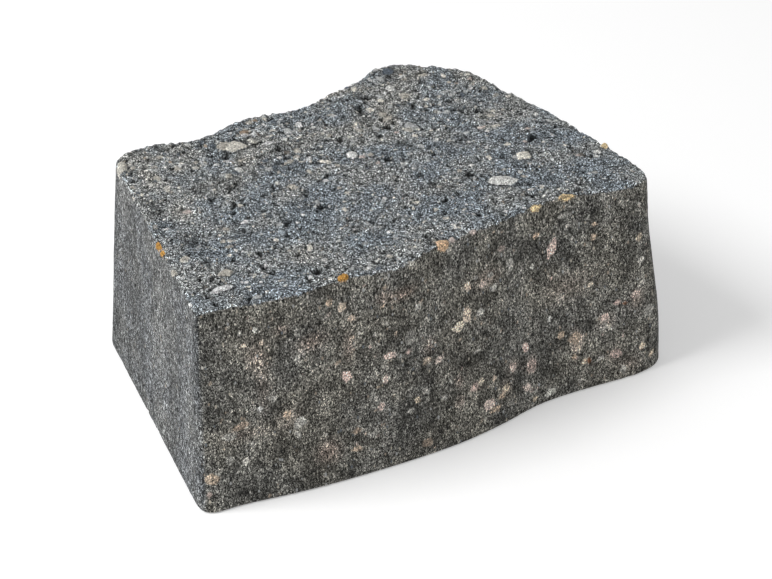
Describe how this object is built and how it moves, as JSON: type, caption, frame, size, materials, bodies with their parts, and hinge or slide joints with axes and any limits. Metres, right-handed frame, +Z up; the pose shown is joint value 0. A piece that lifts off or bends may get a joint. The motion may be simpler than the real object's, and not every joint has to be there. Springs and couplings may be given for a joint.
{
  "type": "wall block",
  "caption": "Solid dry-cast concrete wall block with flat beds, battered sides and waved front and back faces, shorter at the back so that a course can turn a curve.",
  "frame": {"origin": "centre of the base bed's bounding box, on the base plane", "axes": "+Z up from the base bed to the top bed, +X along the front face to the right, front face towards -Y"},
  "size_m": [0.3007, 0.222, 0.125],
  "materials": {
    "concrete": "charcoal-dyed dry-cast concrete: open grain on the top bed, vertical drag marks on the sides"
  },
  "bodies": {
    "root": {"wall_block": "concrete"}
  },
  "joints": []
}
